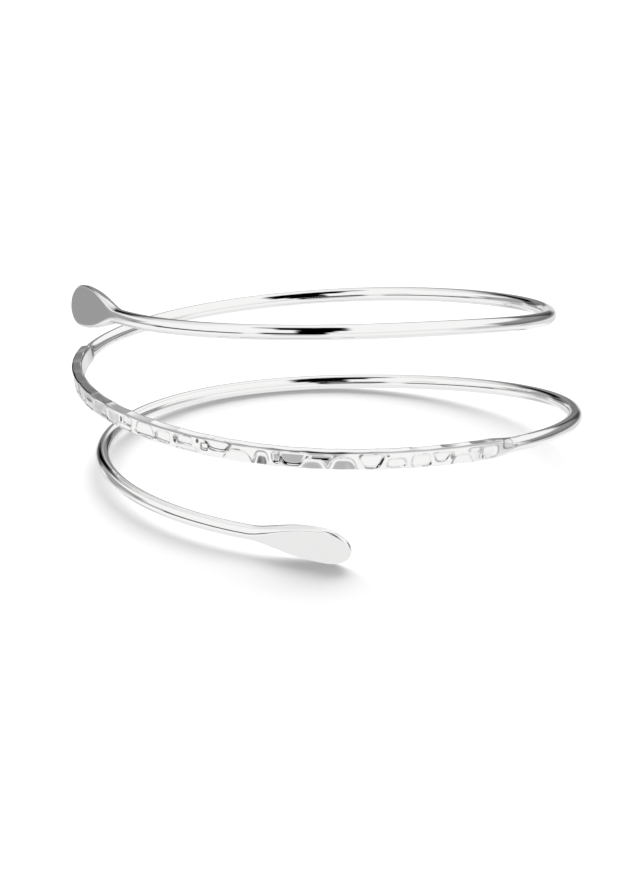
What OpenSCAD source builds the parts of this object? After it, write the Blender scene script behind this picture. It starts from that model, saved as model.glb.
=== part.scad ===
// Upper arm cuff: one forged wire, wound about twice round the arm, with a hammered front
// stretch and a flat paddle at each end.
// Millimetres, +Z up. The cuff rests on z = 0 and its box is centred over the origin.
// "turn" is the angle in degrees that the wire has wound from the upper paddle's neck.
// Seen from above it winds anticlockwise, and it goes down as it winds.

/* [Wire] */
// Diameter of the round wire
wire_d = 2.5; // [2:0.1:3]

/* [Coil] */
// Size of the coil against the real one, which is about 80 mm wide inside
coil_scale = 1; // [0.9:0.05:1.2]
// Direction of the upper neck, seen from above, 0 to the right and 90 to the back
coil_start = -149; // [-180:1:180]
// Turn at the lower neck, where the coil ends
coil_turn = 757; // [720:1:765]

/* [Paddles] */
// Length of each paddle, from its neck to its tip
paddle_len = 18; // [14:0.5:22]
// Height of a paddle where it is widest
paddle_h = 7; // [5:0.25:9]
// Distance of the widest place from the neck, as a share of the paddle's length
paddle_widest = 0.75; // [0.65:0.01:0.85]
// Thickness of a paddle at its tip
paddle_tip_t = 0.8; // [0.6:0.05:1.2]
// Radius of the long edges of a paddle
paddle_edge_r = 0.3; // [0.2:0.02:0.3]
// How far the upper paddle's outer face looks up
upper_tilt = 8; // [-20:1:20]
// How far the lower paddle's outer face looks up
lower_tilt = -25; // [-35:1:20]

/* [Hammered stretch] */
// Turn where the hammered stretch starts
band_from = 315; // [300:1:330]
// Turn where the hammered stretch ends
band_to = 462; // [450:1:475]
// Height of the hammered stretch, which is flattened wire
band_h = 3.15; // [2.6:0.05:3.6]
// Thickness of the hammered stretch
band_t = 1.8; // [1.5:0.05:2.2]
// How far the hammered stretch's outer face looks up
band_tilt = -8; // [-12:1:4]
// Radius of the long corners of the hammered stretch
band_edge_r = 0.3; // [0.3:0.05:0.6]
// Turn over which the round wire runs into the hammered stretch
band_run = 2; // [1.5:0.5:5]
// Depth of a hammer mark at its middle
mark_depth = 0.16; // [0:0.02:0.2]
// Turn between the blows along the upper and the lower edge
edge_blow_step = 7.5; // [5:0.5:12]
// Depth of the blows along the edges
edge_blow_depth = 0.1; // [0:0.02:0.14]

/* [Rest] */
// How far the coil's axis leans to the back when the cuff rests on a table
lean_back = 7.3; // [0:0.1:10]
// How far the coil's axis leans to the right when the cuff rests on a table
lean_side = -0.9; // [-3:0.1:3]

/* [Mesh] */
// Points round the wire
sides = 16; // [12:4:16]
// Turn between rings on the round wire
plain_step = 4.5; // [3.6:0.1:9]
// Turn between rings on the hammered stretch
band_step = 0.95; // [0.9:0.05:3]
// Rings on each paddle
paddle_rings = 24; // [12:1:30]

/* [Hidden] */

wire_r = wire_d / 2;

// Rows of the coil, one each 45 degrees of turn. The wire's middle line is the smooth curve
// that the rows pull towards themselves, a cubic B-spline.
row_step = 45;
RADIUS = 1;
HEIGHT = 2;
// [turn, distance from the coil's axis, height over the coil's middle]
COIL = [
    [-45, 40, 17],
    [0, 42, 17.5],
    [45, 41.5, 19],
    [90, 37.5, 18],
    [135, 36.5, 13.5],
    [180, 38, 10.5],
    [225, 41, 8.5],
    [270, 44, 6.5],
    [315, 44.7, 5],
    [360, 44, 2],
    [405, 42.5, -2],
    [450, 42, -2.5],
    [495, 41.5, -4],
    [540, 41.5, -6.5],
    [585, 41.5, -8.5],
    [630, 42, -8.5],
    [675, 41.5, -10],
    [720, 39, -13.5],
    [765, 38, -16.5],
    [810, 41, -18],
];

// Hammer marks on the outer face: each is a flat facet with steep rims, set in a tilted plane.
MARK_TURN = 0;
MARK_HEIGHT = 1;
MARK_HALF_LEN = 2;
MARK_HALF_H = 3;
MARK_SPREAD = 4;
MARK_SLANT = 5;
MARK_LOOK_UP = 6;
// [turn, height on the face, half length, half height, how much longer it is at its top,
//  slant along the wire, look up]
MARKS = [
    [319, 0.2, 2.1, 1.2, 0.2, 3, -3],
    [324.6, -0.2, 2, 1.2, -0.2, -3, 3],
    [330.2, 0.2, 2, 1.2, 0.1, 2, -4],
    [335.8, -0.1, 2, 1.2, -0.2, -3, 2],
    [341, 0.3, 1.5, 1.1, 0, 3, -2],
    [346.4, 0.3, 1.9, 1.1, 0.1, -2, 3],
    [351, -0.8, 1.8, 0.6, -0.2, 0, -6],
    [351.4, 0.7, 1.5, 0.6, 0, 4, 6],
    [357, 0.3, 2.3, 1.2, -0.2, 3, 3],
    [362.3, -0.1, 1.8, 1.3, 0.1, -3, 0],
    [367, -0.9, 1.7, 0.5, 0, 0, -8],
    [368.2, 0.4, 1.1, 0.8, 0, -3, 2],
    [373.5, 0.1, 1.8, 1.2, -0.15, 3, -3],
    [379, 0, 1.4, 1, 0, -2, -4],
    [384.6, 0.4, 1.4, 0.8, 0, 0, -3],
    [385, -0.9, 2, 0.5, 0, 0, -8],
    [389.5, 0, 0.6, 0.6, 0, 6, 4],
    [392.7, 0.6, 1.9, 0.9, 0.25, -2, 2],
    [397.3, -0.5, 2.1, 1.1, -0.3, 2, -1],
    [402.6, -0.3, 1.2, 1.1, -0.2, -4, 8],
    [405.9, 0, 0.7, 1, 0.1, 6, 4],
    [409.5, 0.1, 2.1, 1.2, 0.3, 0, 2],
    [413.6, -0.6, 1.9, 1, -0.3, 2, 0],
    [415.5, 0.6, 1.9, 0.4, 0, 0, 2],
    [420.3, -0.5, 2, 1.1, -0.25, -2, 3],
    [426.5, 0, 1.7, 1.2, 0.3, 2, -1],
    [432, -0.4, 1.5, 0.8, -0.1, -2, -4],
    [437.6, -0.2, 1.6, 1.1, -0.1, 3, -4],
    [442.4, 0.1, 1.3, 0.8, 0.3, 0, -5],
    [447.7, -0.8, 1.8, 1, -0.3, 2, -5],
    [450.8, 0.6, 1.2, 0.4, 0, 0, 4],
    [455.1, -0.1, 1.6, 1, 0, -3, -4],
    [460.1, 0.7, 1, 0.7, 0, 3, 2],
];

// Mean radius of the hammered stretch, and the length of wire in one degree of it
band_r = coil_scale * 42.5;
band_mm = band_r * PI / 180;
// Turn over which the round wire twists towards the tilt of a paddle
tilt_run = 20;
// A paddle's rings crowd towards its tip by this power
tip_crowding = 1.6;
// The widening of a paddle starts quicker than an even ease, by this power
widen_power = 0.8;
// The last ring stops this far short of the tip, as a small flat
tip_flat = 0.04;

function unit(v) = v / norm(v);
function mix(a, b, share) = a + (b - a) * share;
function ease(x) = let (t = min(max(x, 0), 1)) t * t * (3 - 2 * t);
function steps(from, to, step) =
    let (n = ceil((to - from) / step)) [for (i = [0:n - 1]) from + (to - from) * i / n];

// Middle line of the wire
function spline(turn, column) =
    let (
        x = turn / row_step + 1,
        i = min(max(floor(x), 1), len(COIL) - 3),
        f = x - i,
        before = COIL[i - 1][column] * pow(1 - f, 3),
        here = COIL[i][column] * (3 * pow(f, 3) - 6 * f * f + 4),
        next = COIL[i + 1][column] * (-3 * pow(f, 3) + 3 * f * f + 3 * f + 1),
        after = COIL[i + 2][column] * pow(f, 3)
    )
    coil_scale * (before + here + next + after) / 6;

function coil_point(turn) =
    let (angle = coil_start + turn, radius = spline(turn, RADIUS))
    [radius * cos(angle), radius * sin(angle), spline(turn, HEIGHT)];

function coil_heading(turn) =
    unit(coil_point(min(turn + 0.1, coil_turn)) - coil_point(max(turn - 0.1, 0)));

// A station is [turn, beyond]: beyond is 0 on the coil, and on a paddle it is the distance
// past the neck, along a straight line that leaves the coil in the wire's own direction.
function station_point(station) =
    let (turn = station[0], way = turn == 0 ? -1 : 1)
    coil_point(turn) + way * station[1] * coil_heading(turn);

// How far the outer face looks up
function tilt(turn) =
    let (
        upper = upper_tilt * (1 - ease(turn / tilt_run)),
        lower = lower_tilt * ease((turn - coil_turn) / tilt_run + 1)
    )
    upper + lower + band_tilt * band_share(turn);

// Sizes of the section: half the thickness, half the height and the radius of its corners
function band_share(turn) =
    ease((turn - band_from) / band_run) * (1 - ease((turn - band_to) / band_run));

function paddle_half_h(beyond) =
    let (widest = paddle_widest * paddle_len, past = (beyond - widest) / (paddle_len - widest))
    beyond < widest
        ? mix(wire_r, paddle_h / 2, ease(pow(beyond / widest, widen_power)))
        : paddle_h / 2 * sqrt(max(1 - past * past, 0));

function section_size(station) =
    let (
        beyond = station[1],
        share = band_share(station[0]),
        half_t = mix(wire_r, paddle_tip_t / 2, beyond / paddle_len),
        edge = mix(wire_r, paddle_edge_r, ease(beyond / paddle_len * 2)),
        half_h = paddle_half_h(beyond)
    )
    beyond > 0
        ? [half_t, half_h, min(edge, half_t, half_h)]
        : [mix(wire_r, band_t / 2, share), mix(wire_r, band_h / 2, share), mix(wire_r, band_edge_r, share)];

// Depth that the hammer marks take off the outer face, at a turn and a height on the face. The
// outline of a mark is a square with well rounded corners, where the fourth powers add up to 1.
function mark_cut(mark, turn, height) =
    let (
        along = (turn - mark[MARK_TURN]) * band_mm,
        rise = height - mark[MARK_HEIGHT],
        over = rise / mark[MARK_HALF_H],
        half_len = mark[MARK_HALF_LEN] * (1 + mark[MARK_SPREAD] * min(max(over, -1), 1)),
        reach = pow(along / half_len, 4) + pow(over, 4)
    )
    mark_depth * (1 - pow(reach, 1.5)) + along * tan(mark[MARK_SLANT]) + rise * tan(mark[MARK_LOOK_UP]);

function face_cut(turn, height) =
    max([0, for (mark = MARKS) if (abs(turn - mark[MARK_TURN]) < 5) mark_cut(mark, turn, height)]);

// Depth that the blows along the edges take off the top and the bottom, a wave of scallops
function edge_cut(turn) =
    let (place = (turn - band_from) / edge_blow_step, off = place - floor(place) - 0.5)
    edge_blow_depth * (1 - 4 * off * off);

// One point of the section, seen along the wire: [outwards, up]
function section_point(station, angle) =
    let (
        size = section_size(station),
        share = station[1] > 0 ? 0 : band_share(station[0]),
        up = size[1] * sin(angle),
        into_corner = max(abs(up) - (size[1] - size[2]), 0),
        out = size[0] - size[2] + sqrt(max(pow(size[2], 2) - pow(into_corner, 2), 0)),
        face = share > 0 ? size[0] - share * face_cut(station[0], up) : size[0],
        edge = share > 0 ? size[1] - share * edge_cut(station[0]) : size[1]
    )
    [cos(angle) > 0 ? min(out, face) : -out, min(max(up, -edge), edge)];

// A point of the upright coil, leaned over as the cuff rests on a table
function leaned(p) =
    let (
        y = p.y * cos(lean_back) + p.z * sin(lean_back),
        z = p.z * cos(lean_back) - p.y * sin(lean_back)
    )
    [p.x * cos(lean_side) + z * sin(lean_side), y, z * cos(lean_side) - p.x * sin(lean_side)];

// One ring of points round the wire
function ring(station) =
    let (
        heading = coil_heading(station[0]),
        flat_out = unit(cross(heading, [0, 0, 1])),
        flat_up = cross(flat_out, heading),
        twist = tilt(station[0]),
        outwards = flat_out * cos(twist) + flat_up * sin(twist),
        upwards = flat_up * cos(twist) - flat_out * sin(twist),
        middle = station_point(station)
    )
    [
        for (k = [0:sides - 1])
            let (p = section_point(station, (k + 0.5) * 360 / sides))
                leaned(middle + p[0] * outwards + p[1] * upwards)
    ];

// Stations along the whole wire, from the upper tip to the lower one
paddle_stations = [
    for (i = [1:paddle_rings])
        (paddle_len - tip_flat) * (1 - pow(1 - i / paddle_rings, tip_crowding))
];
upper_stations = [for (i = [paddle_rings - 1:-1:0]) [0, paddle_stations[i]]];
coil_stations = [
    for (turn = concat(
        steps(0, band_from, plain_step),
        steps(band_from, band_to + band_run, band_step),
        steps(band_to + band_run, coil_turn, plain_step),
        [coil_turn]
    )) [turn, 0]
];
lower_stations = [for (beyond = paddle_stations) [coil_turn, beyond]];
stations = concat(upper_stations, coil_stations, lower_stations);

points = [for (station = stations) each ring(station)];
low = [for (axis = [0:2]) min([for (p = points) p[axis]])];
high = [for (axis = [0:2]) max([for (p = points) p[axis]])];
base = [(low.x + high.x) / 2, (low.y + high.y) / 2, low.z];

// Two triangles for each square between neighbouring rings, and a flat face at each tip
function square_faces(a, b, c, d) = [[a, b, c], [a, c, d]];
faces = concat(
    [[for (k = [sides - 1:-1:0]) k]],
    [
        for (i = [0:len(stations) - 2], k = [0:sides - 1])
            let (next = (k + 1) % sides, here = i * sides, there = here + sides)
                each square_faces(here + k, here + next, there + next, there + k)
    ],
    [[for (k = [0:sides - 1]) (len(stations) - 1) * sides + k]]
);

// The whole cuff, which is one piece of silver
module arm_cuff() {
    color("silver")
        translate(-base)
            polyhedron(points = points, faces = faces, convexity = 6);
}

arm_cuff();
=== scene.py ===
"""Upper arm cuff: one polished silver wire wound about twice round the arm, with a hammered
front stretch and a flat paddle at each end, on a plain white table.

Sizes are millimetres until a mesh is made, and +Z is up. "turn" is the angle in degrees that
the wire has wound from the upper paddle's neck; it winds anticlockwise seen from above and goes
down as it winds. A station is a place along the wire: its turn, and on a paddle how far it lies
beyond the neck.
"""

from __future__ import annotations

import logging
from dataclasses import dataclass, field
from enum import Enum
from typing import ClassVar

import bpy
import numpy as np
from mathutils import Matrix, Vector

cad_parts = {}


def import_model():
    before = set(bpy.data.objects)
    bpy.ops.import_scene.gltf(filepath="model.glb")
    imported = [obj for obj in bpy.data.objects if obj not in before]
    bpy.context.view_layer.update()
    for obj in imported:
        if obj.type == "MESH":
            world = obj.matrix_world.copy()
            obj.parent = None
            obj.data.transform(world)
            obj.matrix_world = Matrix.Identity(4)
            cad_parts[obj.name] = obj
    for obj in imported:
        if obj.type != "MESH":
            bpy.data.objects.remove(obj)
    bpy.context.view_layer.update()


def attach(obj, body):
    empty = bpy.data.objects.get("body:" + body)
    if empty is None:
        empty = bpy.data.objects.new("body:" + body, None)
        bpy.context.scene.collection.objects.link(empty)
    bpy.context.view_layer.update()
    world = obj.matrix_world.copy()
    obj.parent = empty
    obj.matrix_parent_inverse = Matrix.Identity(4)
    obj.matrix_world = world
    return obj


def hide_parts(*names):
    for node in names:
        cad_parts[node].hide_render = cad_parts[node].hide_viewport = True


LOG = logging.getLogger("arm_cuff")
MM = 0.001


def ease(x: np.ndarray) -> np.ndarray:
    """Smooth step: t * t * (3 - 2 t), with t held between 0 and 1."""
    t = np.clip(x, 0.0, 1.0)
    return t * t * (3.0 - 2.0 * t)


def mix(a: np.ndarray | float, b: np.ndarray | float, share: np.ndarray) -> np.ndarray:
    """Straight blend: a where share is 0, b where it is 1."""
    return a + (b - a) * share


def unit(v: np.ndarray) -> np.ndarray:
    """Each row divided by its own length."""
    return v / np.linalg.norm(v, axis=-1, keepdims=True)


class Column(Enum):
    """Which column of the coil's table a curve follows."""

    RADIUS = 1
    HEIGHT = 2


class End(Enum):
    """The two ends of the wire, with the way that the wire leaves the coil there."""

    UPPER = -1.0
    LOWER = 1.0


@dataclass
class Rest:
    """How the upright coil leans over when the cuff rests on a table, in degrees."""

    lean_back: float = 7.3
    lean_side: float = -0.9

    def turned(self, points: np.ndarray) -> np.ndarray:
        """Leans points or directions over.

        Formula: a turn about X that brings up towards back, then a turn about Y that brings up
        towards the right.

        Args:
            points: Rows of x, y, z.

        Returns:
            The same rows, leaned over.
        """
        back, side = np.radians(self.lean_back), np.radians(self.lean_side)
        x, y, z = points[..., 0], points[..., 1], points[..., 2]
        y, z = y * np.cos(back) + z * np.sin(back), z * np.cos(back) - y * np.sin(back)
        x, z = x * np.cos(side) + z * np.sin(side), z * np.cos(side) - x * np.sin(side)
        return np.stack([x, y, z], axis=-1)


@dataclass
class Coil:
    """Middle line of the wire: a smooth spiral drawn by a table of rows."""

    start: float = -149.0
    turn: float = 757.0
    row_step: float = 45.0
    look_round: float = 0.1
    # turn, distance from the coil's axis, height over the coil's middle
    rows: tuple[tuple[float, float, float], ...] = (
        (-45, 40, 17),
        (0, 42, 17.5),
        (45, 41.5, 19),
        (90, 37.5, 18),
        (135, 36.5, 13.5),
        (180, 38, 10.5),
        (225, 41, 8.5),
        (270, 44, 6.5),
        (315, 44.7, 5),
        (360, 44, 2),
        (405, 42.5, -2),
        (450, 42, -2.5),
        (495, 41.5, -4),
        (540, 41.5, -6.5),
        (585, 41.5, -8.5),
        (630, 42, -8.5),
        (675, 41.5, -10),
        (720, 39, -13.5),
        (765, 38, -16.5),
        (810, 41, -18),
    )

    def curve(self, turn: np.ndarray, column: Column) -> np.ndarray:
        """One column of the table as a smooth curve of the turn.

        Formula: the cubic B-spline of four neighbouring rows, with the share f of the way from
        one row to the next: ((1-f)^3 a + (3 f^3 - 6 f^2 + 4) b + (-3 f^3 + 3 f^2 + 3 f + 1) c
        + f^3 d) / 6.

        Args:
            turn: Turns in degrees.
            column: The column to follow.

        Returns:
            The curve's value at each turn.
        """
        values = np.array(self.rows, dtype=float)[:, column.value]
        x = turn / self.row_step + 1.0
        i = np.clip(np.floor(x).astype(int), 1, len(values) - 3)
        f = x - i
        return (
            values[i - 1] * (1 - f) ** 3
            + values[i] * (3 * f**3 - 6 * f**2 + 4)
            + values[i + 1] * (-3 * f**3 + 3 * f**2 + 3 * f + 1)
            + values[i + 2] * f**3
        ) / 6.0

    def point(self, turn: np.ndarray) -> np.ndarray:
        """Points of the middle line.

        Formula: (r cos a, r sin a, h) at the angle a = start + turn, with the radius r and the
        height h from the table's curves.

        Args:
            turn: Turns in degrees.

        Returns:
            A point for each turn.
        """
        angle = np.radians(self.start + turn)
        radius = self.curve(turn, Column.RADIUS)
        height = self.curve(turn, Column.HEIGHT)
        return np.stack([radius * np.cos(angle), radius * np.sin(angle), height], axis=-1)

    def heading(self, turn: np.ndarray) -> np.ndarray:
        """Direction of the wire: the unit step from look_round degrees before to as many after."""
        after = self.point(np.minimum(turn + self.look_round, self.turn))
        return unit(after - self.point(np.maximum(turn - self.look_round, 0.0)))


@dataclass
class Paddle:
    """A wire end hammered out to a flat teardrop blade.

    widest and edge_run are shares of the length: where the blade is tallest, and by where its
    edges have narrowed to edge_radius. The blade ends in a small flat, tip_flat short of its
    length.
    """

    end: End
    tilt: float
    length: float = 18.0
    height: float = 7.0
    widest: float = 0.75
    tip_thickness: float = 0.8
    edge_radius: float = 0.3
    edge_run: float = 0.5
    widen_power: float = 0.8
    tilt_run: float = 20.0
    rings: int = 76
    crowding: float = 1.8
    tip_flat: float = 0.004

    def stations(self) -> np.ndarray:
        """Distances beyond the neck, closer near the tip: L (1 - (1 - i / n)^crowding)."""
        share = np.arange(1, self.rings + 1) / self.rings
        return (self.length - self.tip_flat) * (1.0 - (1.0 - share) ** self.crowding)

    def half_height(self, beyond: np.ndarray, wire_r: float) -> np.ndarray:
        """Half the blade's height.

        Formula: an ease from the wire's radius to the full half height at the widest place,
        with the share of the way raised to widen_power, then a quarter of an ellipse to the tip.

        Args:
            beyond: Distances from the neck.
            wire_r: Radius of the round wire.

        Returns:
            Half the height at each distance.
        """
        widest = self.widest * self.length
        share = ease((np.clip(beyond, 0, None) / widest) ** self.widen_power)
        opening = mix(wire_r, self.height / 2, share)
        past = np.clip((beyond - widest) / (self.length - widest), 0, 1)
        closing = self.height / 2 * np.sqrt(1 - past**2)
        return np.where(beyond < widest, opening, closing)

    def section(self, beyond: np.ndarray, wire_r: float) -> np.ndarray:
        """Sizes of the blade's section.

        Formula: half the thickness falls evenly from the wire's radius to the tip's, and rounds
        off over the last edge radius; the edges' radius eases to edge_radius, and is measured
        square to the outline, so upwards it grows with the outline's slope.

        Args:
            beyond: Distances from the neck.
            wire_r: Radius of the round wire.

        Returns:
            Rows of half thickness, half height, edge radius outwards, edge radius upwards.
        """
        half_h = self.half_height(beyond, wire_r)
        step = self.tip_flat / 2
        slope = (self.half_height(beyond + step, wire_r) - half_h) / step
        half_t = mix(wire_r, self.tip_thickness / 2, beyond / self.length)
        edge = mix(wire_r, self.edge_radius, ease(beyond / self.length / self.edge_run))
        edge = np.minimum(edge, half_t)
        short = np.clip(edge - (self.length - beyond), 0, edge)
        half_t = half_t - edge + np.sqrt(edge**2 - short**2)
        edge = np.minimum(edge, half_t)
        edge_up = np.minimum(edge * np.sqrt(1 + slope**2), half_h)
        return np.stack([half_t, half_h, edge, edge_up], axis=-1)


@dataclass(frozen=True)
class HammerMark:
    """One blow of the hammer on the outer face: a flat facet with steep rims, in a tilted plane.

    Lengths are millimetres on the face, spread is how much longer the facet is at its top than at
    its middle, slant and look_up tilt it in degrees, line is how dark the painted reflection along
    its rim is, and middle_shade how dark the painted shade over its middle. line_width is half the
    width of a rim's painted dark line, and steepness the power of reach that shapes the rims.
    """

    turn: float
    height: float
    half_length: float
    half_height: float
    spread: float
    slant: float
    look_up: float
    line: float
    # painted shade over the facet's middle
    middle_shade: float = 0.0
    line_width: ClassVar[float] = 0.11
    steepness: ClassVar[float] = 1.5

    def reach(self, along: np.ndarray, rise: np.ndarray) -> np.ndarray:
        """How far out of the facet's middle a point lies.

        Formula: the sum of the fourth powers of along / (half length (1 + spread rise / half
        height)) and rise / half height, which is 1 on the outline.

        Args:
            along: Distances along the wire from the facet's middle.
            rise: Heights over the facet's middle.

        Returns:
            0 in the middle, 1 on the outline.
        """
        over = rise / self.half_height
        half_length = self.half_length * (1 + self.spread * np.clip(over, -1, 1))
        return (along / half_length) ** 4 + over**4

    def cut(self, along: np.ndarray, rise: np.ndarray, depth: float) -> np.ndarray:
        """Depth that the facet takes off the face.

        Formula: depth times (1 - reach^steepness), plus along times the tangent of the slant, plus
        rise times the tangent of look_up.

        Args:
            along: Distances along the wire from the facet's middle.
            rise: Heights over the facet's middle.
            depth: Depth of a facet that isn't tilted, at its middle.

        Returns:
            The depth at each point, below 0 well outside the outline.
        """
        plane = along * np.tan(np.radians(self.slant)) + rise * np.tan(np.radians(self.look_up))
        return depth * (1 - self.reach(along, rise) ** self.steepness) + plane

    def rim(self, along: np.ndarray, rise: np.ndarray) -> tuple[np.ndarray, np.ndarray]:
        """The painted dark reflection along the rim.

        Formula: line times exp(-(d / line_width)^2), where d is the fourth root of reach, less 1,
        times the shorter half of the facet.

        Args:
            along: Distances along the wire from the facet's middle.
            rise: Heights over the facet's middle.

        Returns:
            How dark each point is, and how far it lies inside the facet from 0 to 1.
        """
        apart = (self.reach(along, rise) ** 0.25 - 1) * min(self.half_length, self.half_height)
        apart = apart / self.line_width
        return self.line * np.exp(-(apart**2)), ease(-apart)


@dataclass(frozen=True)
class Nick:
    """A small dent that a corner of the hammer left in the outer face, darkened with painted shade.
    """

    turn: float
    height: float
    half_length: float
    half_height: float
    line: float
    # no painted shade over the middle besides the dent's own
    middle_shade: ClassVar[float] = 0.0

    def reach(self, along: np.ndarray, rise: np.ndarray) -> np.ndarray:
        """0 in the middle, 1 on the outline: (along / half length)^2 + (rise / half height)^2."""
        return (along / self.half_length) ** 2 + (rise / self.half_height) ** 2

    def cut(self, along: np.ndarray, rise: np.ndarray, depth: float) -> np.ndarray:
        """Depth taken off the face: depth (1 - reach)."""
        return depth * (1 - self.reach(along, rise))

    def rim(self, along: np.ndarray, rise: np.ndarray) -> tuple[np.ndarray, np.ndarray]:
        """The painted shade that fills the dent.

        Formula: line, fading where reach grows from a half to one and a half.

        Args:
            along: Distances along the wire from the nick's middle.
            rise: Heights over the nick's middle.

        Returns:
            How dark each point is, and how far it lies inside the nick from 0 to 1.
        """
        inside = 1 - ease(self.reach(along, rise) - 0.5)
        return self.line * inside, inside


@dataclass
class HammeredStretch:
    """The front stretch: wire flattened to a bar, with hammer marks on its outer face."""

    first: float = 315.0
    last: float = 462.0
    height: float = 3.15
    thickness: float = 1.8
    tilt: float = -8.0
    edge_radius: float = 0.3
    run: float = 2.0
    last_run: float = 9.0
    mark_depth: float = 0.16
    edge_blow_step: float = 7.5
    edge_blow_depth: float = 0.1
    mean_radius: float = 42.5
    # degrees from a mark's middle within which it may cut the face
    mark_span: float = 5.0
    # how dark the painted reflection along the upper outer corner is, and half its width
    corner_line: float = 0.7
    corner_width: float = 0.17
    # turn, height, half length, half height, spread, slant, look up, line, middle_shade; line is a
    # painted dark reflection along the rim and middle_shade painted shade over the middle
    marks: tuple[HammerMark, ...] = (
        HammerMark(319, 0.2, 2.1, 1.2, 0.2, 3, -3, 0.4),
        HammerMark(324.6, -0.2, 2, 1.2, -0.2, -3, 3, 0.4),
        HammerMark(330.2, 0.2, 2, 1.2, 0.1, 2, -4, 0.4),
        HammerMark(335.8, -0.1, 2, 1.2, -0.2, -3, 2, 0.4),
        HammerMark(341, 0.3, 1.5, 1.1, 0, 3, -2, 0.4, 0.15),
        HammerMark(346.4, 0.3, 1.9, 1.1, 0.1, -2, 3, 0.6, 0.2),
        HammerMark(351, -0.8, 1.8, 0.6, -0.2, 0, -6, 0.3),
        HammerMark(351.4, 0.7, 1.5, 0.6, 0, 4, 6, 0.8, 0.25),
        HammerMark(357, 0.3, 2.3, 1.2, -0.2, 3, 3, 0.5, 0.2),
        HammerMark(362.3, -0.1, 1.8, 1.3, 0.1, -3, 0, 0.3, 0.08),
        HammerMark(367, -0.9, 1.7, 0.5, 0, 0, -8, 0.25),
        HammerMark(368.2, 0.4, 1.1, 0.8, 0, -3, 2, 0.8, 0.1),
        HammerMark(373.5, 0.1, 1.8, 1.2, -0.15, 3, -3, 0.5),
        HammerMark(379, 0, 1.4, 1, 0, -2, -4, 0.45),
        HammerMark(384.6, 0.4, 1.4, 0.8, 0, 0, -3, 0.75),
        HammerMark(385, -0.9, 2, 0.5, 0, 0, -8, 0.25),
        HammerMark(389.5, 0, 0.6, 0.6, 0, 6, 4, 0.8),
        HammerMark(392.7, 0.6, 1.9, 0.9, 0.25, -2, 2, 0.85),
        HammerMark(397.3, -1.1, 2.4, 1.7, -0.4, 2, -1, 0.9),
        HammerMark(402.6, -0.9, 1.3, 1.7, -0.3, -4, 6, 0.75),
        HammerMark(405.9, 0, 0.7, 1, 0.1, 6, 4, 0.75),
        HammerMark(409.5, 0.1, 2.1, 1.2, 0.3, 0, 2, 1),
        HammerMark(413.6, -1.1, 2.3, 1.5, -0.4, 2, 0, 0.6),
        HammerMark(415.5, 0.6, 1.9, 0.4, 0, 0, 2, 0.7),
        HammerMark(420.3, -1.1, 2.25, 1.7, -0.33, -2, 2, 0.7),
        HammerMark(426.5, 0, 1.7, 1.2, 0.3, 2, -1, 0.95),
        HammerMark(432, -0.4, 1.5, 0.8, -0.1, -2, -4, 0.35),
        HammerMark(437.6, -0.2, 1.6, 1.1, -0.1, 3, -4, 0.5),
        HammerMark(442.4, 0.1, 1.3, 0.8, 0.3, 0, -5, 0.75),
        HammerMark(447.7, -0.8, 1.8, 1, -0.3, 2, -5, 0.75),
        HammerMark(450.8, 0.6, 1.2, 0.4, 0, 0, 4, 0.5),
        HammerMark(455.1, -0.1, 1.6, 1, 0, -3, -4, 0.5),
        HammerMark(460.1, 0.7, 1, 0.7, 0, 3, 2, 0.8),
    )
    # turn, height, half length, half height, line
    nicks: tuple[Nick, ...] = (
        Nick(365.8, 0.3, 0.25, 0.55, 0.9),
        Nick(370.7, -0.6, 0.3, 0.25, 1),
        Nick(376.7, -0.3, 0.25, 0.65, 0.8),
        Nick(382.1, 0.3, 0.35, 0.8, 0.9),
        Nick(387.8, 0.8, 0.25, 0.4, 0.9),
        Nick(429.8, 0.9, 0.4, 0.3, 0.9),
        Nick(445.1, 0.1, 0.4, 0.7, 0.7),
        Nick(452.3, -0.4, 0.25, 0.5, 0.8),
        Nick(462.5, 0.2, 0.3, 0.3, 1),
    )

    def share(self, turn: np.ndarray) -> np.ndarray:
        """How much of the stretch a turn has: 1 on it, 0 off it, eased over a run at each end."""
        end = self.last + self.run
        return ease((turn - self.first) / self.run) * ease((end - turn) / self.last_run)

    def blows(self) -> tuple[HammerMark | Nick, ...]:
        """The marks and then the nicks, in the order in which they were struck."""
        return (*self.marks, *self.nicks)

    def off_middle(
        self, blow: HammerMark | Nick, turn: np.ndarray, height: np.ndarray
    ) -> tuple[np.ndarray, np.ndarray]:
        """How far points lie from a blow's middle, along the mean arc and up."""
        return np.radians(turn - blow.turn) * self.mean_radius, height - blow.height

    def face_cut(self, turn: np.ndarray, height: np.ndarray) -> np.ndarray:
        """Depth that the hammer marks take off the outer face.

        Formula: the largest of the marks' own depths, and 0 where no mark reaches.

        Args:
            turn: Turns, one each point.
            height: Heights on the face, one each point.

        Returns:
            The depth at each point.
        """
        cut = np.zeros(np.broadcast(turn, height).shape)
        for blow in self.blows():
            depth = blow.cut(*self.off_middle(blow, turn, height), self.mark_depth)
            cut = np.maximum(cut, np.where(abs(turn - blow.turn) < self.mark_span, depth, 0.0))
        return cut

    def rim_lines(self, turn: np.ndarray, height: np.ndarray) -> np.ndarray:
        """How much painted shade the face gets: each blow wipes what it covers, then adds its own.

        Args:
            turn: Turns, one each point.
            height: Heights on the face, one each point.

        Returns:
            0 for bright silver, up to 1 for the darkest line.
        """
        dark = np.zeros(np.broadcast(turn, height).shape)
        for blow in self.blows():
            # each blow's painted rim reflection and its painted shade over the middle
            line, inside = blow.rim(*self.off_middle(blow, turn, height))
            dark = np.maximum(mix(dark, blow.middle_shade, inside), line)
        return dark

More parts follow.
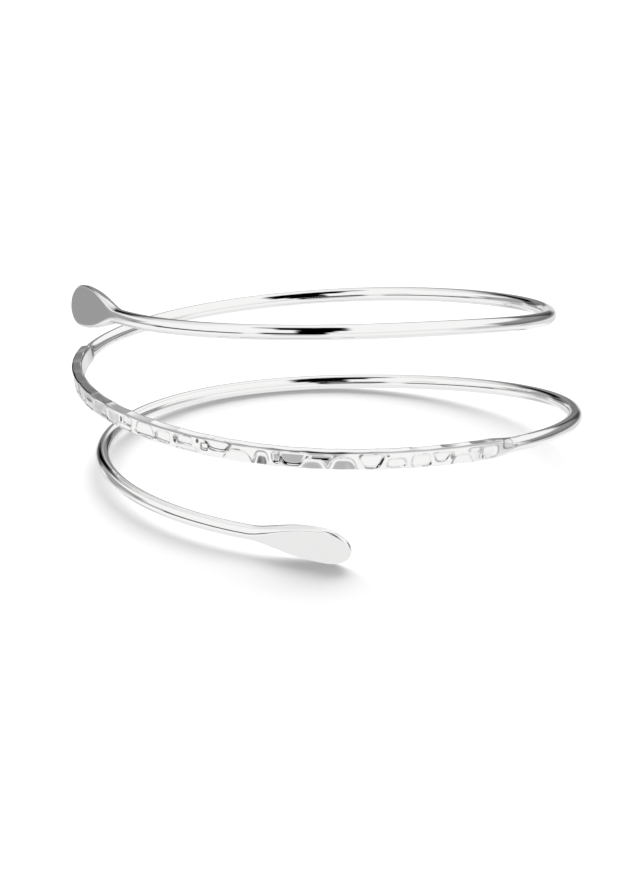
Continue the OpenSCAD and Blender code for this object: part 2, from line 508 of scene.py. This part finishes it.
    def edge_cut(self, turn: np.ndarray) -> np.ndarray:
        """Depth of the blows along the edges.

        Formula: depth times (1 - 4 off^2), where off runs from -0.5 to 0.5 across each step, so
        that the edges are scalloped.

        Args:
            turn: Turns in degrees.

        Returns:
            The depth at each turn.
        """
        place = (turn - self.first) / self.edge_blow_step
        off = place - np.floor(place) - 0.5
        return self.edge_blow_depth * (1 - 4 * off**2)


class Run(Enum):
    """How a value runs from one level to another: evenly, or eased at both ends."""

    EVEN = "LINEAR"
    EASED = "SMOOTHSTEP"


class NodeBench:
    """Adds shader nodes to a tree, one after another."""

    def __init__(self, tree: bpy.types.NodeTree) -> None:
        """Keeps the tree's nodes and links."""
        self.nodes, self.links = tree.nodes, tree.links

    def put(self, value: object, socket: bpy.types.NodeSocket) -> None:
        """Links another node's socket into a socket, or sets a plain value on it.

        Args:
            value: The other socket, or the value.
            socket: The input that it goes into.
        """
        if isinstance(value, bpy.types.NodeSocket):
            self.links.new(value, socket)
        else:
            socket.default_value = value

    def add(self, kind: str, inputs: dict[str, object], **settings: object) -> bpy.types.Node:
        """Adds one node.

        Args:
            kind: The node's type.
            inputs: Values or sockets, under the names of the inputs that they go into.
            settings: Values of the node's own settings, such as its operation.

        Returns:
            The node.
        """
        node = self.nodes.new(kind)
        for name, value in settings.items():
            setattr(node, name, value)
        for name, value in inputs.items():
            self.put(value, node.inputs[name])
        return node

    def math(self, operation: str, *values: object) -> bpy.types.NodeSocket:
        """One sum of numbers or sockets.

        Args:
            operation: Name of the sum, such as MULTIPLY.
            values: What goes in, in order.

        Returns:
            The socket that gives the result.
        """
        node = self.add("ShaderNodeMath", {}, operation=operation)
        for socket, value in zip(node.inputs, values):
            self.put(value, socket)
        return node.outputs["Value"]

    def ramp(
        self,
        value: bpy.types.NodeSocket,
        start: tuple[float, float],
        end: tuple[float, float],
        run: Run = Run.EVEN,
    ) -> bpy.types.NodeSocket:
        """A value that runs from one level to another.

        Args:
            value: What is looked at.
            start: Where the run starts, and the level up to there.
            end: Where it ends, and the level from there on.
            run: How it runs between them.

        Returns:
            The socket that gives the level.
        """
        span = {"From Min": start[0], "From Max": end[0], "To Min": start[1], "To Max": end[1]}
        kind = "ShaderNodeMapRange"
        node = self.add(kind, {"Value": value} | span, interpolation_type=run.value)
        return node.outputs["Result"]


@dataclass(frozen=True)
class PolishedSilver:
    """Mirror-polished silver with faint drawing lines along the wire, and painted dark reflections
    and shade on the hammered stretch.

    Noise scales are per metre, or per millimetre on the UV map, which holds the length along the
    wire and the distance round it.
    """

    name: str = "polished_silver"
    colour: tuple[float, float, float, float] = (0.93, 0.93, 0.925, 1.0)
    # the dark colour of the painted reflections and painted shade on the hammered stretch
    painted_shade_colour: tuple[float, float, float, float] = (0.1, 0.1, 0.105, 1.0)
    mark_attribute: str = "mark_lines"
    corner_attribute: str = "corner_line"
    uv_map: str = "along_the_wire"
    # gaps in the marks' painted dark lines: the noise and the share of the line left
    gap_scale: float = 600.0
    gap_from: tuple[float, float] = (0.43, 0.12)
    gap_to: tuple[float, float] = (0.57, 1.0)
    # the polish: its noise, and the roughness that goes with two of its values
    polish_scale: float = 160.0
    polish_detail: float = 3.0
    smooth_at: tuple[float, float] = (0.35, 0.015)
    rough_at: tuple[float, float] = (0.7, 0.05)
    # the drawing lines: their noise, drawn out along the wire, and their depth in metres
    line_scale: float = 3.0
    line_stretch: tuple[float, float, float] = (0.01, 1.2, 1.0)
    line_strength: float = 0.2
    line_depth: float = 0.00001

    def tone(self, bench: NodeBench, place: bpy.types.NodeSocket) -> bpy.types.NodeSocket:
        """The colour: silver that falls to a painted dark reflection along the corner and the
        marks' lines.

        Args:
            bench: Where the nodes are added.
            place: Socket with the object's coordinates.

        Returns:
            The colour's socket. The marks' painted dark lines are broken in places by a noise.
        """
        marks = bench.add("ShaderNodeAttribute", {}, attribute_name=self.mark_attribute)
        corner = bench.add("ShaderNodeAttribute", {}, attribute_name=self.corner_attribute)
        # a noise that breaks the marks' painted dark reflection lines into pieces
        gap_noise = bench.add("ShaderNodeTexNoise", {"Vector": place, "Scale": self.gap_scale})
        left = bench.ramp(gap_noise.outputs["Fac"], self.gap_from, self.gap_to)
        broken_lines = bench.math("MULTIPLY", marks.outputs["Fac"], left)
        dark = bench.math("MAXIMUM", broken_lines, corner.outputs["Fac"])
        # silver mixed towards the painted dark reflections and shade
        mixed = {"Factor": dark, "A": self.colour, "B": self.painted_shade_colour}
        return bench.add("ShaderNodeMix", mixed, data_type="RGBA").outputs["Result"]

    def polish(self, bench: NodeBench, place: bpy.types.NodeSocket) -> bpy.types.NodeSocket:
        """The roughness, which wanders a little over the metal with a soft noise.

        Args:
            bench: Where the nodes are added.
            place: Socket with the object's coordinates.

        Returns:
            The roughness's socket.
        """
        noise = {"Vector": place, "Scale": self.polish_scale, "Detail": self.polish_detail}
        clouds = bench.add("ShaderNodeTexNoise", noise)
        return bench.ramp(clouds.outputs["Fac"], self.smooth_at, self.rough_at)

    def drawing_lines(self, bench: NodeBench) -> bpy.types.NodeSocket:
        """The bump of the fine lines that the drawing of the wire left along it.

        Args:
            bench: Where the nodes are added.

        Returns:
            The normal's socket.
        """
        along = bench.add("ShaderNodeUVMap", {}, uv_map=self.uv_map).outputs["UV"]
        drawn = bench.add("ShaderNodeMapping", {"Vector": along, "Scale": self.line_stretch})
        noise = {"Vector": drawn.outputs["Vector"], "Scale": self.line_scale}
        lines = bench.add("ShaderNodeTexNoise", noise).outputs["Fac"]
        depth = {"Height": lines, "Strength": self.line_strength, "Distance": self.line_depth}
        return bench.add("ShaderNodeBump", depth).outputs["Normal"]

    def material(self) -> bpy.types.Material:
        """Builds the node material.

        Returns:
            A metal with the tone, the polish and the drawing lines.
        """
        material = bpy.data.materials.new(self.name)
        material.use_nodes = True
        bench = NodeBench(material.node_tree)
        place = bench.add("ShaderNodeTexCoord", {}).outputs["Object"]
        shader = bench.nodes["Principled BSDF"]
        bench.put(1.0, shader.inputs["Metallic"])
        bench.put(self.tone(bench, place), shader.inputs["Base Color"])
        bench.put(self.polish(bench, place), shader.inputs["Roughness"])
        bench.put(self.drawing_lines(bench), shader.inputs["Normal"])
        return material


@dataclass
class Cuff:
    """The whole cuff: one closed skin carried along the wire's middle line.

    plain_step and hammered_step are the turns from one station to the next.
    """

    wire_r: float = 1.25
    coil: Coil = field(default_factory=Coil)
    rest: Rest = field(default_factory=Rest)
    upper: Paddle = field(default_factory=lambda: Paddle(End.UPPER, 8.0))
    lower: Paddle = field(default_factory=lambda: Paddle(End.LOWER, -25.0))
    stretch: HammeredStretch = field(default_factory=HammeredStretch)
    silver: PolishedSilver = field(default_factory=PolishedSilver)
    plain_step: float = 3.0
    hammered_step: float = 0.145
    # how many points of the section lie on the outer face, on the top and on the bottom, and on
    # the inner face
    outer_points: int = 36
    edge_points: int = 10
    inner_points: int = 12
    piece_name: ClassVar[str] = "cuff_wire"
    node: ClassVar[str] = "arm_cuff"

    def stations(self) -> tuple[np.ndarray, np.ndarray]:
        """Places along the whole wire, from the upper tip to the lower one.

        Returns:
            The turn of each station, and how far it lies beyond a neck.
        """

        def spaced(first: float, last: float, step: float) -> np.ndarray:
            """Even steps from first up to, and without, last."""
            return np.linspace(first, last, int(np.ceil((last - first) / step)), endpoint=False)

        first, last = self.stretch.first, self.stretch.last + self.stretch.run
        coil_turns = np.concatenate([
            spaced(0.0, first, self.plain_step),
            spaced(first, last, self.hammered_step),
            spaced(last, self.coil.turn, self.plain_step),
            [self.coil.turn],
        ])
        upper, lower = self.upper.stations()[::-1], self.lower.stations()
        neck = np.full_like(lower, self.coil.turn)
        turn = np.concatenate([np.zeros_like(upper), coil_turns, neck])
        beyond = np.concatenate([upper, np.zeros_like(coil_turns), lower])
        return turn, beyond

    def sections(self, turn: np.ndarray, beyond: np.ndarray) -> np.ndarray:
        """Sizes of the section at each station. Both paddles have the same ones.

        Args:
            turn: Turn of each station.
            beyond: Distance of each station beyond a neck.

        Returns:
            Rows of half thickness, half height, edge radius outwards, edge radius upwards.
        """
        share = self.stretch.share(turn)
        edge = mix(self.wire_r, self.stretch.edge_radius, share)
        half_t = mix(self.wire_r, self.stretch.thickness / 2, share)
        half_h = mix(self.wire_r, self.stretch.height / 2, share)
        on_coil = np.stack([half_t, half_h, edge, edge], axis=-1)
        on_blade = self.upper.section(beyond, self.wire_r)
        return np.where((beyond > 0)[:, None], on_blade, on_coil)

    def angles(self) -> np.ndarray:
        """Angles of the points round the section, closer on the outer face than elsewhere.

        Returns:
            The angles in radians, with 0 on the outer face and a quarter turn on the top.
        """
        counts = (self.outer_points, self.edge_points, self.inner_points, self.edge_points)
        starts = (-45.0, 45.0, 135.0, 225.0)
        sides = [start + (np.arange(n) + 0.5) * 90.0 / n for start, n in zip(starts, counts)]
        return np.radians(np.concatenate(sides))

    def outline(self, sections: np.ndarray, angles: np.ndarray) -> tuple[np.ndarray, np.ndarray]:
        """Points of the rounded rectangles.

        Formula: a ray leaves the middle along (half_t cos, half_h sin) and ends where it meets
        the outer side, the top side, or the quarter ellipse that rounds their corner.

        Args:
            sections: Sizes of each section.
            angles: Angles of the rays.

        Returns:
            How far outwards and how far up each point lies, one row each section.
        """
        half_t, half_h, edge, edge_up = (sections[:, i : i + 1] for i in range(4))
        out, up = half_t * abs(np.cos(angles)), half_h * abs(np.sin(angles))
        side, top = half_t / out, half_h / up
        # the corner, in a space where its quarter ellipse is a circle of radius 1
        dx, dy = out / edge, up / edge_up
        cx, cy = (half_t - edge) / edge, (half_h - edge_up) / edge_up
        dot, size = dx * cx + dy * cy, dx**2 + dy**2
        corner = (dot + np.sqrt(np.maximum(dot**2 - size * (cx**2 + cy**2 - 1), 0))) / size
        reach = np.where(out * top <= half_t - edge, top, corner)
        reach = np.where(up * side <= half_h - edge_up, side, reach)
        return reach * out * np.sign(np.cos(angles)), reach * up * np.sign(np.sin(angles))

    def frames(
        self, turn: np.ndarray, beyond: np.ndarray
    ) -> tuple[np.ndarray, np.ndarray, np.ndarray]:
        """Middle of each section with its outward and upward directions.

        Formula: outwards is level and square to the wire, upwards is square to both, and both
        turn about the wire by the tilt of the hammered stretch, or near a paddle by that of the
        paddle, eased over tilt_run.

        Args:
            turn: Turn of each station.
            beyond: Distance of each station beyond a neck.

        Returns:
            Middles, outward directions and upward directions.
        """
        heading = self.coil.heading(turn)
        way = np.where(turn == 0, End.UPPER.value, End.LOWER.value)
        middle = self.coil.point(turn) + (way * beyond)[:, None] * heading
        level = unit(np.cross(heading, [0.0, 0.0, 1.0]))
        over = np.cross(level, heading)
        tilt = self.upper.tilt * (1 - ease(turn / self.upper.tilt_run))
        tilt += self.lower.tilt * ease((turn - self.coil.turn) / self.lower.tilt_run + 1)
        tilt += self.stretch.tilt * self.stretch.share(turn)
        cos, sin = np.cos(np.radians(tilt))[:, None], np.sin(np.radians(tilt))[:, None]
        return middle, level * cos + over * sin, over * cos - level * sin

    def skin(self) -> tuple[np.ndarray, np.ndarray, np.ndarray]:
        """The cuff's surface as a grid of points, rings along the wire by points round it.

        Formula: middle + out times outwards + up times upwards, where out and up draw the rounded
        section. On the hammered stretch out goes no further than the face less the marks' depth,
        and up no further than the edges less the edge blows' depth.

        Returns:
            The grid in millimetres, resting on the table, its length along the wire, and the
            distance round the section.
        """
        turn, beyond = self.stations()
        sizes = self.sections(turn, beyond)
        out, up = self.outline(sizes, self.angles())
        share = np.where(beyond > 0, 0.0, self.stretch.share(turn))[:, None]
        face = sizes[:, :1] - share * self.stretch.face_cut(turn[:, None], up)
        edge = sizes[:, 1:2] - share * self.stretch.edge_cut(turn)[:, None]
        out = np.where(share > 0, np.minimum(out, face), out)
        up = np.where(share > 0, np.clip(up, -edge, edge), up)
        middle, outwards, upwards = self.frames(turn, beyond)
        grid = middle[:, None] + out[..., None] * outwards[:, None]
        grid = self.rest.turned(grid + up[..., None] * upwards[:, None])
        steps = np.linalg.norm(np.diff(middle, axis=0), axis=1)
        along = np.concatenate([[0.0], np.cumsum(steps)])
        around = np.linspace(0.0, 2 * np.pi * self.wire_r, grid.shape[1], endpoint=False)
        return grid, along, around

    def darkness(self) -> dict[str, np.ndarray]:
        """How much painted dark reflection and shade each point of the skin gets.

        Formula: on the outer face of the hammered stretch the rims of the marks; along its upper
        outer corner corner_line times exp(-(d / corner width)^2), where d is the distance from the
        middle of the corner; elsewhere 0.

        Returns:
            Values from 0 to 1, one row each ring, under the name of their attribute.
        """
        turn, beyond = self.stations()
        sizes = self.sections(turn, beyond)
        out, up = self.outline(sizes, self.angles())
        share = np.where(beyond > 0, 0.0, self.stretch.share(turn))[:, None]
        # painted dark reflections on the marks' rims, painted shade over facets and in nicks
        rims = np.where(out > 0, self.stretch.rim_lines(turn[:, None], up), 0.0)
        rounded = (1 - np.sqrt(0.5)) * sizes[:, 2:3]
        apart = np.hypot(out - (sizes[:, :1] - rounded), up - (sizes[:, 1:2] - rounded))
        # painted dark reflection along the upper outer corner
        corner = self.stretch.corner_line * np.exp(-((apart / self.stretch.corner_width) ** 2))
        return {
            self.silver.mark_attribute: np.where(share > 0, rims, 0.0),
            self.silver.corner_attribute: share * corner,
        }

    def base(self, grid: np.ndarray) -> np.ndarray:
        """The point that becomes the origin: middle of the box across, bottom of it below."""
        low, high = grid.reshape(-1, 3).min(axis=0), grid.reshape(-1, 3).max(axis=0)
        return np.array([(low[0] + high[0]) / 2, (low[1] + high[1]) / 2, low[2]])

    def faces(self, rings: int, around: int) -> list[tuple[int, ...]]:
        """Squares between neighbouring rings, and one face at each tip.

        Args:
            rings: How many rings the grid has.
            around: How many points a ring has.

        Returns:
            The faces, all with their outer side out.
        """
        ring = np.arange(rings - 1)[:, None] * around
        here, beside = ring + np.arange(around), ring + (np.arange(around) + 1) % around
        squares = np.stack([here, here + around, beside + around, beside], axis=-1).reshape(-1, 4)
        last = (rings - 1) * around
        tips = [tuple(range(around)), tuple(reversed(range(last, last + around)))]
        return [*map(tuple, squares.tolist()), *tips]

    def mesh(self) -> bpy.types.Mesh:
        """Makes the mesh of the skin, with its UV map, its painted dark reflections and shade, and
        its material.

        Returns:
            The mesh, in metres from the point that becomes the origin.
        """
        grid, along, around = self.skin()
        points = (grid - self.base(grid)).reshape(-1, 3) * MM
        mesh = bpy.data.meshes.new(self.piece_name)
        mesh.from_pydata(points.tolist(), [], self.faces(*grid.shape[:2]))
        mesh.polygons.foreach_set("use_smooth", [True] * len(mesh.polygons))
        uv = np.stack(np.broadcast_arrays(along[:, None], around[None]), axis=-1).reshape(-1, 2)
        corners = np.empty(len(mesh.loops), dtype=np.int32)
        mesh.loops.foreach_get("vertex_index", corners)
        layer = mesh.uv_layers.new(name=self.silver.uv_map)
        layer.data.foreach_set("uv", uv[corners].astype(np.float32).ravel())
        # the painted dark reflections and shade, as point attributes
        for name, values in self.darkness().items():
            dark = mesh.attributes.new(name, "FLOAT", "POINT")
            dark.data.foreach_set("value", values.astype(np.float32).ravel())
        mesh.materials.append(self.silver.material())
        mesh.validate()
        return mesh

    def build(self) -> bpy.types.Object:
        """Builds and dresses the cuff.

        Returns:
            The finished piece, which rides on the root and stands for the plain solid.
        """
        piece = bpy.data.objects.new(self.piece_name, self.mesh())
        bpy.context.scene.collection.objects.link(piece)
        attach(piece, "root")
        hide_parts(self.node)
        return piece


@dataclass(frozen=True)
class SoftCard:
    """A dark card with soft edges in the light room, seen from the cuff.

    Azimuth 0 is behind the cuff, 90 to its right and 180 in front of it, all in degrees.
    """

    azimuth: float
    elevation: float
    half_width: float
    half_height: float
    softness: float
    shade: float


class RoomBench(NodeBench):
    """Adds the nodes of the light room."""

    def window(
        self, value: bpy.types.NodeSocket, half: float, softness: float
    ) -> bpy.types.NodeSocket:
        """A level that is 1 round 0 and falls to 0 over soft edges.

        Formula: 1 up to half - softness / 2 on either side of 0, 0 from half + softness / 2 on,
        and a smooth step between them.

        Args:
            value: Socket with an angle in radians.
            half: Half the window's width in degrees.
            softness: Width of each soft edge in degrees.

        Returns:
            The socket that gives the level.
        """
        inner, outer = np.radians(half - softness / 2), np.radians(half + softness / 2)
        return self.ramp(self.math("ABSOLUTE", value), (inner, 1.0), (outer, 0.0), Run.EASED)

    def card(self, card: SoftCard, way: bpy.types.NodeSocket) -> bpy.types.NodeSocket:
        """What a card leaves of the light that comes from a direction.

        Formula: 1 - shade w(u) w(v), where w is the soft window, v is the elevation less the
        card's, and u is the azimuth less the card's times the cosine of the elevation.

        Args:
            card: The card.
            way: Socket with the unit direction.

        Returns:
            Socket with a factor from 0 to 1.
        """
        turn = {"Vector": way, "Angle": np.radians(card.azimuth)}
        turned = self.add("ShaderNodeVectorRotate", turn, rotation_type="Z_AXIS")
        parts = self.add("ShaderNodeSeparateXYZ", {"Vector": turned.outputs["Vector"]})
        x, y, z = parts.outputs
        elevation = self.math("ARCSINE", z)
        across = self.math("MULTIPLY", self.math("ARCTAN2", x, y), self.math("COSINE", elevation))
        across = self.window(across, card.half_width, card.softness)
        over = self.math("SUBTRACT", elevation, np.radians(card.elevation))
        over = self.window(over, card.half_height, card.softness)
        both = self.math("MULTIPLY", across, over)
        return self.math("SUBTRACT", 1.0, self.math("MULTIPLY", both, card.shade))


@dataclass(frozen=True)
class MattWhite:
    """Plain white of the table, without any shine."""

    name: str = "table_white"
    colour: tuple[float, float, float, float] = (0.75, 0.75, 0.75, 1.0)
    roughness: float = 1.0
    specular_level: float = 0.0

    def material(self) -> bpy.types.Material:
        """Builds the node material.

        Returns:
            A matt white of one colour.
        """
        material = bpy.data.materials.new(self.name)
        material.use_nodes = True
        inputs = material.node_tree.nodes["Principled BSDF"].inputs
        inputs["Base Color"].default_value = self.colour
        inputs["Roughness"].default_value = self.roughness
        inputs["Specular IOR Level"].default_value = self.specular_level
        return material


@dataclass
class Studio:
    """White table in a white room with soft dark cards, under a very broad light.

    The light's middle stands high behind the table, and its width is in degrees. Its slope is how
    far the light goes towards the right and the back for each metre that it falls.
    """

    table_size: float = 1.6
    table_white: MattWhite = field(default_factory=MattWhite)
    room_level: float = 0.98
    sun_strength: float = 3.9
    sun_width: float = 75.0
    sun_slope: tuple[float, float] = (0.0, -1.15)
    cards: tuple[SoftCard, ...] = (
        # the slot between the two big front lights, where the camera stands, wider overhead
        SoftCard(181, 14, 8, 26, 4, 1.0),
        SoftCard(178, 28, 9, 12, 5, 1.0),
        SoftCard(174, 48, 12, 13, 5, 1.0),
        SoftCard(184, 72, 15, 18, 5, 1.0),
        SoftCard(245, 76, 14, 6, 5, 0.92),
        # its foot, and the rail between the table and the left front light
        SoftCard(197, 0, 10, 11, 6, 0.97),
        SoftCard(242, -7, 25.5, 7, 5, 0.9),
        SoftCard(275, -3, 12, 8, 8, 0.5),
        # the dim edge of the table in front
        SoftCard(188, -20, 12, 6, 6, 0.5),
        # the unlit far sides of the room: left back, left, right back and right
        SoftCard(338, 16, 8, 9, 5, 1.0),
        SoftCard(338, 13, 15, 16, 5, 0.77),
        SoftCard(10, 6, 17, 12, 4, 0.7),
        SoftCard(326, 29, 12, 6, 6, 0.4),
        SoftCard(331, -3, 9, 10, 8, 0.55),
        SoftCard(302, 8, 20, 10, 8, 0.6),
        SoftCard(300, -8, 14, 8, 8, 0.3),
        SoftCard(308, -11, 7, 7, 6, 0.45),
        SoftCard(48, 3, 33, 15, 8, 0.7),
        SoftCard(45, -8, 55, 10, 10, 0.2),
        SoftCard(84, -16, 24, 12, 12, 0.25),
        # the wall over the left back corner, and the far wall high up
        SoftCard(325, 42, 20, 12, 10, 0.15),
        # the table's far end and the cuff's own shadow on it
        SoftCard(0, -23, 60, 5, 6, 0.25),
        SoftCard(335, -40, 22, 6, 6, 0.35),
        # a thin dim line all round, where the table ends, and the dimmer table underneath
        SoftCard(0, -4, 200, 7, 8, 0.15),
        SoftCard(0, -75, 360, 34, 20, 0.1),
    )

    def table(self) -> bpy.types.Object:
        """The plain white table, a flat square at the height of 0.

        Returns:
            The table, which is a backdrop and not part of the cuff.
        """
        corners = np.array([(-1, -1, 0), (1, -1, 0), (1, 1, 0), (-1, 1, 0)]) * self.table_size / 2
        mesh = bpy.data.meshes.new("table")
        mesh.from_pydata(corners.tolist(), [], [(0, 1, 2, 3)])
        mesh.materials.append(self.table_white.material())
        table = bpy.data.objects.new("table", mesh)
        bpy.context.scene.collection.objects.link(table)
        table.visible_glossy = False
        return table

    def light(self) -> bpy.types.Object:
        """The broad light, which draws the soft shadows.

        Returns:
            A sun whose light falls along (slope, -1).
        """
        data = bpy.data.lights.new("broad_light", "SUN")
        data.energy = self.sun_strength
        data.angle = np.radians(self.sun_width)
        light = bpy.data.objects.new("broad_light", data)
        bpy.context.scene.collection.objects.link(light)
        ahead = Vector((*self.sun_slope, -1.0))
        light.rotation_euler = ahead.to_track_quat("-Z", "Y").to_euler()
        light.visible_glossy = False
        return light

    def room(self) -> bpy.types.World:
        """The light room: white all round less the cards, and plain white where the camera sees it.

        Returns:
            The world of the scene.
        """
        world = bpy.data.worlds.new("white_room")
        bpy.context.scene.world = world
        world.use_nodes = True
        bench = RoomBench(world.node_tree)
        way = bench.add("ShaderNodeTexCoord", {}).outputs["Generated"]
        level = self.room_level
        for card in self.cards:
            level = bench.math("MULTIPLY", bench.card(card, way), level)
        straight = bench.add("ShaderNodeLightPath", {}).outputs["Is Camera Ray"]
        level = bench.math("MAXIMUM", level, straight)
        bench.put(level, bench.nodes["Background"].inputs["Color"])
        return world


@dataclass
class Viewpoint:
    """The camera, placed by how the upright coil is seen from it.

    Elevation and roll are degrees, and scale is pixels of the picture each millimetre. aside and
    above are how far right and over the picture's middle the coil's middle lies.
    """

    elevation: float = 13.812
    roll: float = 0.817
    distance: float = 600.0
    scale: float = 5.761
    aside: float = 2.71
    above: float = 8.157
    picture_width: int = 640
    sensor: float = 36.0

    def build(self, cuff: Cuff) -> bpy.types.Object:
        """Makes the camera.

        Formula: the camera stands at minus aside times right, minus above times up, minus
        distance times ahead, in the upright coil's own axes, and leans over with the coil. Its
        lens gives scale pixels each millimetre at that distance.

        Args:
            cuff: The cuff, whose rest and base place the coil on the table.

        Returns:
            The camera, set as the scene's camera.
        """
        e, r = np.radians(self.elevation), np.radians(self.roll)
        right, up = np.array([1.0, 0, 0]), np.array([0, np.sin(e), np.cos(e)])
        ahead = np.array([0, np.cos(e), -np.sin(e)])
        place = -self.aside * right - self.above * up - self.distance * ahead
        rolled_right = np.cos(r) * right - np.sin(r) * up
        rolled_up = np.sin(r) * right + np.cos(r) * up
        matrix = np.eye(4)
        matrix[:3, :3] = cuff.rest.turned(np.stack([rolled_right, rolled_up, -ahead])).T
        matrix[:3, 3] = (cuff.rest.turned(place) - cuff.base(cuff.skin()[0])) * MM
        data = bpy.data.cameras.new("camera")
        data.sensor_width = self.sensor
        data.sensor_fit = "HORIZONTAL"
        data.lens = self.scale * self.distance / self.picture_width * self.sensor
        camera = bpy.data.objects.new("camera", data)
        bpy.context.scene.collection.objects.link(camera)
        camera.matrix_world = Matrix(matrix.tolist())
        bpy.context.scene.camera = camera
        return camera


def main() -> None:
    """Builds the cuff, then its table, room and light, and then its camera."""
    logging.basicConfig(level=logging.INFO, format="%(name)s: %(message)s")
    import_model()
    cuff = Cuff()
    piece = cuff.build()
    mesh = piece.data
    LOG.info("%s: %d points, %d faces", piece.name, len(mesh.vertices), len(mesh.polygons))
    studio = Studio()
    LOG.info("studio: %s, %s, %s", studio.table().name, studio.room().name, studio.light().name)
    camera = Viewpoint().build(cuff)
    LOG.info("camera: lens %.1f mm", camera.data.lens)
    bpy.context.scene.view_settings.view_transform = "Standard"


if __name__ == "__main__":
    main()
